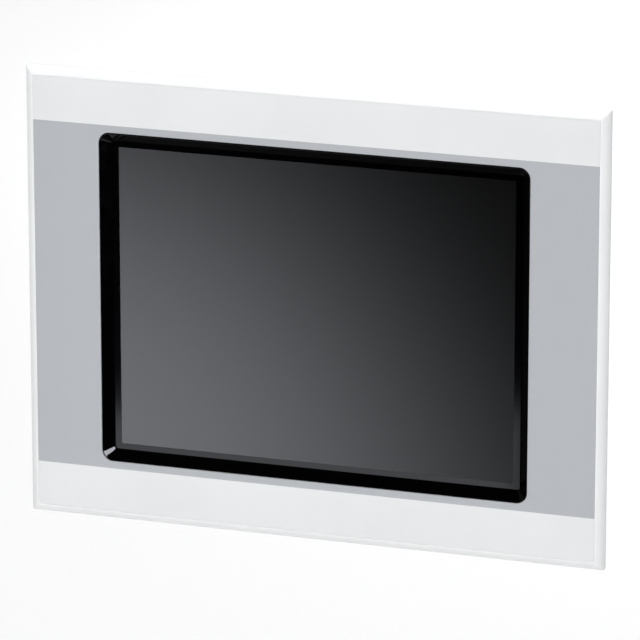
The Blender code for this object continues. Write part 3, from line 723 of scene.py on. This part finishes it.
def gasket_tree():
    tree, sizes = start_tree("gasket", Width=0.3, Height=0.2, Fillet=0.003, Strip=0.009, Thickness=0.002)
    path = wire(tree, "GeometryNodeCurvePrimitiveQuadrilateral",
                {"Width": sizes["Width"], "Height": sizes["Height"]})
    path = wire(tree, "GeometryNodeFilletCurve", {"Curve": path, "Radius": sizes["Fillet"]},
                {"Count": 10}, mode="POLY")
    profile = wire(tree, "GeometryNodeCurvePrimitiveQuadrilateral",
                   {"Width": sizes["Strip"], "Height": sizes["Thickness"]})
    profile = wire(tree, "GeometryNodeFilletCurve", {"Curve": profile},
                   {"Count": 4, "Radius": STRIP_FILLET}, mode="POLY")
    strip = wire(tree, "GeometryNodeCurveToMesh", {"Curve": path, "Profile Curve": profile})
    upright = wire(tree, "GeometryNodeTransform", {"Geometry": strip}, {"Rotation": UPRIGHT})
    return end_tree(tree, upright, gasket_rubber)


def make_gasket():
    low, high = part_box("panel_gasket")
    middle = (low + high) / 2
    width, thickness, height = high - low
    piece = grow("door_gasket", gasket_tree(), gasket_rubber,
                 Width=width - GASKET_WIDTH, Height=height - GASKET_WIDTH,
                 Fillet=GASKET_FILLET, Strip=GASKET_WIDTH, Thickness=thickness)
    piece.data.transform(Matrix.Translation(middle))
    stands_for(piece, UNIT, "black_rubber", "panel_gasket")


make_gasket()

# %% [markdown]
# ### Rows of copies
# One tree serves everything that stands in rows: a line of points, a line of such lines, and a copy of one
# small shape on each point. The small shapes are turned on a lathe or bent from strip by two more helpers.

# %% Rows of copies
def rows_tree(finish):
    tree, sizes = start_tree("rows", Count=2, Step=(1.0, 0.0, 0.0), Rows=1, Row_Step=(0.0, 0.0, 1.0),
                             First=(0.0, 0.0, 0.0), Copy=None)
    line = wire(tree, "GeometryNodeMeshLine", {"Count": sizes["Count"], "Offset": sizes["Step"]})
    across = wire(tree, "GeometryNodeMeshLine",
                  {"Count": sizes["Rows"], "Offset": sizes["Row_Step"], "Start Location": sizes["First"]})
    lines = wire(tree, "GeometryNodeInstanceOnPoints", {"Points": across, "Instance": line})
    points = wire(tree, "GeometryNodeRealizeInstances", {"Geometry": lines})
    source = add_node(tree, "GeometryNodeObjectInfo")
    tree.links.new(sizes["Copy"], source.inputs["Object"])
    copies = wire(tree, "GeometryNodeInstanceOnPoints",
                  {"Points": points, "Instance": source.outputs["Geometry"]})
    return end_tree(tree, copies, finish)


def in_rows(name, shape, finish, first, count, step, rows=1, row_step=(0.0, 0.0, 1.0)):
    """Copies of a bmesh in rows; places and steps in mm."""
    pattern = mesh_piece(name + "_pattern", shape, finish)
    piece = grow(name, rows_tree(finish), finish, Count=count, Step=Vector(step) * MM, Rows=rows,
                 Row_Step=Vector(row_step) * MM, First=Vector(first) * MM, Copy=pattern)
    bpy.data.objects.remove(pattern)
    return piece


def lathe(profile, steps, axis="Y", ring=False):
    """A turned shape from (radius, height) points in mm: solid, or a ring whose profile closes on itself."""
    circles = []
    for radius, height in profile:
        angles = [math.tau * i / steps for i in range(steps)]
        if axis == "Y":
            points = [Vector((math.cos(a) * radius, height, math.sin(a) * radius)) for a in angles]
        else:
            points = [Vector((math.cos(a) * radius, math.sin(a) * radius, height)) for a in angles]
        circles.append([point * MM for point in points])
    return skin(circles, ring)


def strip_of(points, width, thickness):
    """A flat strip bent through (y, z) points in mm, width along X."""
    outlines = []
    for i, (y, z) in enumerate(points):
        before = Vector(points[max(i - 1, 0)])
        after = Vector(points[min(i + 1, len(points) - 1)])
        along = (after - before).normalized()
        side = Vector((-along.y, along.x)) * thickness / 2
        corners = ((-width / 2, -1), (width / 2, -1), (width / 2, 1), (-width / 2, 1))
        outlines.append([Vector((x, y + sign * side.x, z + sign * side.y)) * MM for x, sign in corners])
    return skin(outlines, ring=False)


print("rows, lathe and strip ready")

# %% [markdown]
# ### Cover screws
# Four pan-head screws hold the cover. The head is turned, domed and rolled over at its rim, and the cross
# recess is cut into it with a Boolean modifier, as a punch cuts it into a real one. One head, four places.

# %% Cover screws
HEAD_HEIGHT = 1.9
SCREW_NODES = [f"cover_screw_{place}" for place in ("top_left", "top_right", "bottom_left", "bottom_right")]


def cross_recess(depth_from, depth_to, reach, width):
    shape = bmesh.new()
    for long_x in (True, False):
        half_x, half_z = (reach, width) if long_x else (width, reach)
        low = Vector((-half_x, depth_from, -half_z)) * MM
        high = Vector((half_x, depth_to, half_z)) * MM
        made = bmesh.ops.create_cube(shape, size=1.0)["verts"]
        for vertex in made:
            for axis in range(3):
                vertex.co[axis] = high[axis] if vertex.co[axis] > 0 else low[axis]
    return shape


def cut(piece, tool_shape, finish):
    """Cut one shape out of a piece and apply the cut."""
    tool = mesh_piece(piece.name + "_tool", tool_shape, finish)
    modifier = piece.modifiers.new("cut", "BOOLEAN")
    modifier.operation = "DIFFERENCE"
    modifier.solver = "EXACT"
    modifier.use_self = True
    modifier.object = tool
    evaluated = piece.evaluated_get(bpy.context.evaluated_depsgraph_get())
    shape = bmesh.new()
    shape.from_mesh(bpy.data.meshes.new_from_object(evaluated))
    for thing in (tool, piece):
        bpy.data.objects.remove(thing)
    return shape


def screw_head():
    profile = [(0.9, -6.3), (1.45, -5.8), (1.45, 0.0), (2.7, 0.0), (2.9, 0.18), (2.9, 0.9)]
    profile += [(2.9 * math.cos(a), 0.9 + 0.95 * math.sin(a)) for a in (0.25, 0.5, 0.75, 1.0, 1.25)]
    blank = mesh_piece("screw_blank", lathe(profile, 28), zinc_plate)
    return cut(blank, cross_recess(1.05, 3.0, 1.75, 0.32), zinc_plate)


def make_cover_screws():
    low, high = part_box("cover_screw_bottom_left")
    middle = (low + high) / 2 / MM
    seat = high.y / MM - HEAD_HEIGHT
    spacing = (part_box("cover_screw_top_right")[0] - low) / MM
    piece = in_rows("cover_screws", screw_head(), zinc_plate, (middle.x, seat, middle.z),
                    2, (spacing.x, 0.0, 0.0), 2, (0.0, 0.0, spacing.z))
    stands_for(piece, UNIT, "zinc_steel", *SCREW_NODES)


make_cover_screws()

# %% [markdown]
# ### Rims of the cover's vents
# A slot punched in sheet gets a rim turned up round it, which stiffens the sheet. A rim is a narrow ring, so
# the outline helper makes one and the rows tree sets out two rows of fifteen.

# %% Vent rims
VENT_HALF = (1.7, 16.0)
VENT_RADIUS = 1.2
VENT_PITCH = 12.0
VENTS_IN_ROW = 15
VENT_ROW_Z = 68.0              # the rows' distance above and below the middle
RIM_LIFT = 0.45
RIM_WIDTH = 0.9
RIM_SUNK = 0.3                 # how deep a rim starts in the sheet


def rim_shape():
    section = [(0.0, -RIM_SUNK), (0.0, RIM_LIFT), (RIM_WIDTH * 0.5, RIM_LIFT), (RIM_WIDTH, 0.0),
               (RIM_WIDTH, -RIM_SUNK)]
    return skin([outline(VENT_HALF, out, VENT_RADIUS + out, y)[::3] for out, y in section])


def make_vent_rims():
    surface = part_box("rear_cover")[1].y / MM
    first = (-(VENTS_IN_ROW - 1) / 2 * VENT_PITCH, surface, -VENT_ROW_Z)
    piece = in_rows("vent_rims", rim_shape(), housing_sheet, first, VENTS_IN_ROW,
                    (VENT_PITCH, 0.0, 0.0), 2, (0.0, 0.0, 2 * VENT_ROW_Z))
    stands_for(piece, UNIT, "housing_steel")


make_vent_rims()

# %% [markdown]
# ### Rivets
# Blunt rivets join the housing's rear lip to its walls: a row along the top and a row along the bottom.

# %% Rivets
RIVET_PROFILE = [(0.4, -0.6), (1.5, -0.6), (1.5, 0.0), (1.35, 0.25), (0.9, 0.42), (0.3, 0.48)]
RIVET_Y = 39.9
RIVETS_IN_ROW = 6
RIVET_PITCH = 50.0


def make_rivets():
    low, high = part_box("rear_housing")
    for side, wall, outwards in (("top", high.z, 1), ("bottom", low.z, -1)):
        shape = lathe([(radius, outwards * height) for radius, height in RIVET_PROFILE], 14, axis="Z")
        first = (-(RIVETS_IN_ROW - 1) / 2 * RIVET_PITCH, RIVET_Y, wall / MM)
        piece = in_rows(f"rivets_{side}", shape, sink_aluminium, first, RIVETS_IN_ROW,
                        (RIVET_PITCH, 0.0, 0.0))
        stands_for(piece, UNIT, "aluminium")


make_rivets()

# %% [markdown]
# ### Threads
# A clamp pin is an M4 screw with a 0.7 mm pitch. The thread is a helix: the Spiral curve node draws it and a
# small diamond swept along it gives the ridge. It rides on the pin's body, so it turns and travels with it.
# The earth stud is an M5 screw that hangs down through the wall, so its helix is stood upright.

# %% Threads
THREAD_PITCH = 0.7
THREAD_ROOT = 1.98
THREAD_RIDGE = 0.24
THREAD_CLEAR = 1.4             # plain ends, in mm
PIN_HEAD = 1.0
STUD_PITCH = 0.8
STUD_ROOT = 2.47
STUD_RIDGE = 0.16
STUD_PLAIN = 2.4               # the stud's head and its plain ends together
STUD_TIP = 0.5
PLACES = ("top_left", "top_right", "bottom_left", "bottom_right", "left", "right")


def thread_tree():
    tree, sizes = start_tree("thread", Turns=10.0, Radius=0.002, Length=0.01, Ridge=0.0002)
    spiral = wire(tree, "GeometryNodeCurveSpiral",
                  {"Rotations": sizes["Turns"], "Start Radius": sizes["Radius"],
                   "End Radius": sizes["Radius"], "Height": sizes["Length"]}, {"Resolution": 20})
    profile = wire(tree, "GeometryNodeCurvePrimitiveCircle", {"Radius": sizes["Ridge"]}, {"Resolution": 4})
    ridge = wire(tree, "GeometryNodeCurveToMesh", {"Curve": spiral, "Profile Curve": profile},
                 {"Fill Caps": True})
    lying = wire(tree, "GeometryNodeTransform", {"Geometry": ridge},
                 {"Rotation": Euler((math.radians(-90.0), 0.0, 0.0))})
    return end_tree(tree, lying, zinc_plate)


def make_clamp_threads(tree):
    for place in PLACES:
        low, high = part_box(f"clamp_pin_{place}")
        middle = (low + high) / 2
        start, end = low.y / MM + THREAD_CLEAR + PIN_HEAD, high.y / MM - THREAD_CLEAR
        piece = grow(f"clamp_thread_{place}", tree, zinc_plate, Turns=(end - start) / THREAD_PITCH,
                     Radius=THREAD_ROOT * MM, Length=(end - start) * MM, Ridge=THREAD_RIDGE * MM)
        piece.data.transform(Matrix.Translation((middle.x, start * MM, middle.z)))
        stands_for(piece, f"clamp_pin_{place}", "zinc_steel")


def make_stud_thread(tree):
    low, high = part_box("earth_stud")
    middle = (low + high) / 2
    length = high.z - low.z - STUD_PLAIN * MM
    piece = grow("earth_stud_thread", tree, turned_brass, Turns=length / (STUD_PITCH * MM),
                 Radius=STUD_ROOT * MM, Length=length, Ridge=STUD_RIDGE * MM)
    start = Vector((middle.x, middle.y, low.z + STUD_TIP * MM))
    piece.data.transform(Matrix.Translation(start) @ UPRIGHT.to_matrix().to_4x4())
    stands_for(piece, UNIT, "brass")


helix = thread_tree()
make_clamp_threads(helix)
make_stud_thread(helix)

# %% [markdown]
# ### Contacts
# Inside each connector are gold-plated contacts: eight bent wires in the network socket, flat pads on the
# tongues of the two USB sockets, nine pins in one nine-way connector and nine sockets in the other. All of
# them stand in rows too.

# %% Contacts
def port_middle(node):
    low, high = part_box(node)
    return (low + high) / 2 / MM


SEAT_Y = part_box("ethernet_port")[0].y / MM      # where the connectors stand on their board
PORT_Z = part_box("ethernet_port")[0].z / MM      # their outer faces
NINE_WAY_Y = SEAT_Y + 6.25                      # the middle of a nine-way connector's face
PIN_PITCH = 2.77
ROW_OFFSET = 1.42
PAD_SIZE = (1.1, 0.16)                          # width and thickness of a USB pad
NETWORK_WIRE = [(11.5, 3.0), (11.3, 4.0), (9.0, 11.6), (8.6, 12.4)]
PIN = [(0.25, 5.25), (0.45, 5.1), (0.56, 4.7), (0.56, -0.5)]
SOCKET = [(0.45, -5.98), (0.8, -5.98), (0.8, -5.7), (0.45, -5.7)]


def contacts(name, node, shape, offset_x, y, count, pitch, *second_row):
    """A row of contacts in a connector, its first one offset_x from the connector's middle."""
    first = (port_middle(node).x + offset_x, y, PORT_Z)
    piece = in_rows(name, shape, contact_gold, first, count, (pitch, 0.0, 0.0), *second_row)
    stands_for(piece, UNIT, "brass")


def make_socket_contacts():
    contacts("ethernet_contacts", "ethernet_port", strip_of(NETWORK_WIRE, 0.45, 0.3), -3.57, SEAT_Y, 8, 1.02)
    host_pad = strip_of([(3.66, 1.6), (3.66, 10.5)], *PAD_SIZE)
    contacts("usb_host_contacts", "usb_host_port", host_pad, -3.45, SEAT_Y, 4, 2.3)
    device_pad = strip_of([(3.86, 1.6), (3.86, 9.0)], *PAD_SIZE)
    contacts("usb_device_contacts", "usb_device_port", device_pad, -1.25, SEAT_Y, 2, 2.5, 2, (0.0, 3.28, 0.0))


def d_plate(x, half_wide, half_narrow, half_high, z_low, z_high):
    """A thin D-shaped plate round the middle of a nine-way face, wider on its upper side."""
    side = [(half_narrow - 1.0, -half_high), (half_narrow, -half_high + 1.0),
            (half_wide, half_high - 1.0), (half_wide - 1.0, half_high)]
    edge = side + [(-out, up) for out, up in reversed(side)]
    outlines = [[Vector((x + out, NINE_WAY_Y + up, z)) * MM for out, up in edge] for z in (z_low, z_high)]
    return skin(outlines, ring=False)


def make_nine_way(node, label, profile, ring, *plate_sizes):
    """Two staggered rows, of five and four contacts, and the insulator that holds them."""
    for row, count, side in (("upper", 5, 1), ("lower", 4, -1)):
        contacts(f"{label}_{row}", node, lathe(profile, 12, "Z", ring), -(count - 1) / 2 * PIN_PITCH,
                 NINE_WAY_Y + side * ROW_OFFSET, count, PIN_PITCH)
    insulator = mesh_piece(f"{node}_insulator", d_plate(port_middle(node).x, *plate_sizes), black_moulding)
    stands_for(insulator, UNIT, "black_plastic")


make_socket_contacts()
make_nine_way("serial_port", "serial_pins", PIN, False, 7.85, 6.95, 3.55, PORT_Z + 0.1, PORT_Z + 0.62)
make_nine_way("can_port", "can_sockets", SOCKET, True, 8.0, 7.1, 3.7, PORT_Z - 5.88, PORT_Z - 5.7)

# %% [markdown]
# ### Everything that keeps its shape
# The rest of the working model already has the right shape, so it stays, and only its finish changes. The
# record names a material slot for every part; each slot has one finish here.

# %% Finishes by slot
FINISH_OF_SLOT = {
    "frame_edge": frame_white,
    "front_film": overlay_print,
    "gloss_black": polished_black,
    "screen_glass": display_surface,
    "circuit_board": board_lacquer,
    "black_rubber": gasket_rubber,
    "display_cell": cell_black,
    "display_case": inner_sheet,
    "carrier_sheet": inner_sheet,
    "housing_steel": housing_sheet,
    "aluminium": sink_aluminium,
    "brass": turned_brass,
    "zinc_steel": zinc_plate,
    "port_metal": port_nickel,
    "black_plastic": black_moulding,
    "green_plastic": green_moulding,
    "grey_plastic": grey_moulding,
    "label_film": label_print,
}


def dress_nodes():
    slots = {part["node"]: part["material_slot"] for part in frame["record"]["subparts"]}
    for name, piece in frame["nodes"].items():
        piece.data.materials.clear()
        piece.data.materials.append(FINISH_OF_SLOT[slots[name]])
    print(f"{len(frame['nodes'])} parts have their finish")


dress_nodes()

# %% [markdown]
# ## Studio
# The panel hangs above a pale floor that is wide enough to fill the view behind it.

# %% Floor
FLOOR_Z = -0.55
FLOOR_HALF = 6.0
FLOOR_MIDDLE_Y = 2.0


def add_floor():
    material, tree, shader = new_finish("floor_paper", (0.93, 0.93, 0.93), 0.9)
    grain = spread(tree, noise(tree, 2.0), 0.92, 0.94)
    tree.links.new(two_tone(tree, grain, (0.0, 0.0, 0.0), (1.0, 1.0, 1.0)), shader.inputs["Base Color"])
    shape = bmesh.new()
    bmesh.ops.create_grid(shape, x_segments=1, y_segments=1, size=FLOOR_HALF)
    bmesh.ops.translate(shape, verts=shape.verts, vec=(0.0, FLOOR_MIDDLE_Y, FLOOR_Z))
    floor = mesh_piece("floor", shape, material)
    floor.visible_glossy = False
    print("floor at", FLOOR_Z, "m")


add_floor()

# %% [markdown]
# What the black plastic and the glass mirror decides how they look, so the mirrored surroundings are pale
# below and behind the panel and dark in front of it, as with black cloth round the camera. The soft general
# light comes from everywhere but is weaker from the sides, so that the frame's side borders stand out from
# its face.

# %% Surroundings
WHITE = (1.0, 1.0, 1.0, 1.0)
FRONT_LIGHT = 0.86
RIGHT_LIGHT = 0.06
LEFT_LIGHT = 0.02
TO_LEFT = (-0.56, -0.16)       # components of a direction between which the light changes
TO_RIGHT = (0.40, 0.82)
BEHIND = (-0.05, 0.35)
BELOW = (-0.87, -0.62, 0.04)   # a band's lower end, upper end and softness
ABOVE = (0.25, 0.65, 0.10)
MIRRORED_BEHIND = 0.85
MIRRORED_BELOW = 0.22
MIRRORED_ABOVE = 0.05


def band(tree, value, low, high, soft, level):
    """A soft-edged band of a direction's component, level high inside it and 0 outside."""
    rise = spread(tree, value, 0.0, level, low - soft, low + soft)
    fall = spread(tree, value, 1.0, 0.0, high - soft, high + soft)
    return calculate(tree, "MULTIPLY", rise, fall)


def white_light(tree, strength):
    node = add_node(tree, "ShaderNodeBackground")
    node.inputs["Color"].default_value = WHITE
    tree.links.new(strength, node.inputs["Strength"])
    return node.outputs["Background"]


def build_world():
    world = bpy.data.worlds.new("studio")
    bpy.context.scene.world = world
    world.use_nodes = True
    tree = world.node_tree
    x, y, z = axes_of(tree, add_node(tree, "ShaderNodeTexCoord").outputs["Generated"])
    to_left = spread(tree, x, LEFT_LIGHT, FRONT_LIGHT, *TO_LEFT)
    to_right = spread(tree, x, FRONT_LIGHT, RIGHT_LIGHT, *TO_RIGHT)
    behind = spread(tree, y, 0.0, MIRRORED_BEHIND, *BEHIND)
    below = band(tree, z, *BELOW, MIRRORED_BELOW)
    above = band(tree, z, *ABOVE, MIRRORED_ABOVE)
    mix = add_node(tree, "ShaderNodeMixShader")
    tree.links.new(add_node(tree, "ShaderNodeLightPath").outputs["Is Glossy Ray"], mix.inputs["Fac"])
    mirrored = calculate(tree, "MAXIMUM", calculate(tree, "MAXIMUM", behind, below), above)
    tree.links.new(white_light(tree, calculate(tree, "MINIMUM", to_left, to_right)), mix.inputs[1])
    tree.links.new(white_light(tree, mirrored), mix.inputs[2])
    tree.links.new(mix.outputs["Shader"], tree.nodes["World Output"].inputs["Surface"])
    print("surroundings:", len(tree.nodes), "nodes")


build_world()

# %% [markdown]
# Lamps are area lights, as large as real softboxes. Their places and aims are given in millimetres. Three of
# them give the general light. The others are cards set for one piece each, and light linking keeps them to
# it: the glass mirrors glow_box and table_card in its lower left, the black slope mirrors corner_lamp and
# floor_card, and the two border boxes brighten the frame's border.

# %% Lamps
def add_softbox(name, place, aim, size, watts, spread_degrees=180.0, colour=(1.0, 1.0, 1.0),
                only=(), mirrored=False, lights=True):
    data = bpy.data.lights.new(name, "AREA")
    data.color = colour
    data.shape = "RECTANGLE"
    data.size, data.size_y = (side * MM for side in size)
    data.energy = watts
    data.spread = math.radians(spread_degrees)
    lamp = bpy.data.objects.new(name, data)
    lamp.location = Vector(place) * MM
    lamp.rotation_euler = (Vector(place) - Vector(aim)).to_track_quat("Z", "Y").to_euler()
    lamp.visible_camera = False
    lamp.visible_glossy = mirrored
    lamp.visible_diffuse = lights
    bpy.context.scene.collection.objects.link(lamp)
    if only:
        group = bpy.data.collections.new(name + "_lights")
        for piece in only:
            group.objects.link(piece)
        lamp.light_linking.receiver_collection = group
    print(f"{name}: {watts} W")


COOL = (0.93, 0.965, 1.03)
glass_piece = bpy.data.objects["display_glass_plate"]
slope_piece = bpy.data.objects["touch_slope"]
frame_piece = bpy.data.objects["frame_moulding"]
add_softbox("overhead", (0, 700, 1500), (0, 1500, -550), (2400, 2400), 23.0)
add_softbox("backdrop", (0, 3000, 1200), (0, 3000, -550), (3000, 1600), 29.0)
add_softbox("front_floor", (0, -1000, 600), (0, -1000, -550), (1800, 1000), 10.2)
add_softbox("glow_box", (-184, -1037, -5), (-348, -1.5, -368), (220, 220), 8.3, spread_degrees=58.5,
            colour=COOL, only=[glass_piece], mirrored=True)
add_softbox("table_card", (-419.8, -829.6, -415.4), (-136, -1.5, -155), (592, 126), 0.34,
            colour=COOL, only=[glass_piece], mirrored=True)
add_softbox("corner_lamp", (628, -345, 232), (-135, -5, -101), (260, 780), 4.3,
            colour=COOL, only=[slope_piece], mirrored=True, lights=False)
add_softbox("floor_card", (-250, -500, -540), (-250, -500, 0), (900, 700), 1.2,
            only=[slope_piece], mirrored=True, lights=False)
add_softbox("border_box", (0, -1200, 700), (0, 0, 0), (600, 600), 3.4, only=[frame_piece])
add_softbox("low_border_box", (-200, -1150, -480), (0, 0, 0), (500, 500), 2.2, only=[frame_piece])
bpy.context.scene.view_settings.view_transform = "Standard"
